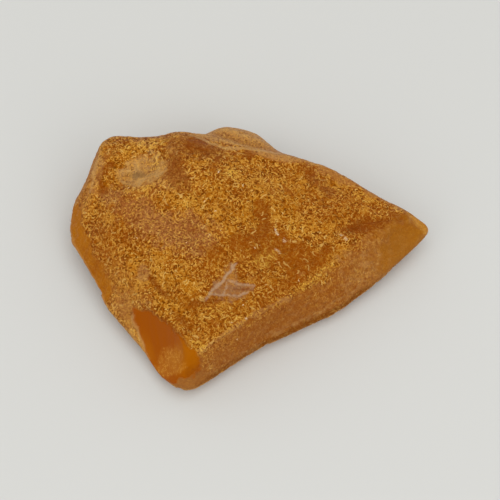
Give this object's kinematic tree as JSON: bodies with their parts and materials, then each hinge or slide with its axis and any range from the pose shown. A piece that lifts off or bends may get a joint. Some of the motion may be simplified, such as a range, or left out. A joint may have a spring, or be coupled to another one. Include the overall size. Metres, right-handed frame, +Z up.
{
  "type": "raw copal",
  "caption": "Raw lump of copal, a blunt kite-shaped piece of amber-coloured tree resin with a crackled golden rind, a smooth shell-shaped break and a flat underside.",
  "frame": {"origin": "middle of the lump's bounding box, on the plane that it lies on", "axes": "+X along the lump towards its thin tip, +Y towards its humped back, +Z up from the table"},
  "size_m": [0.0828, 0.0674, 0.0203],
  "materials": {
    "copal_rind": "translucent amber resin under a finely crackled, mostly satin rind"
  },
  "bodies": {
    "root": {"raw_copal": "copal_rind"}
  },
  "joints": []
}
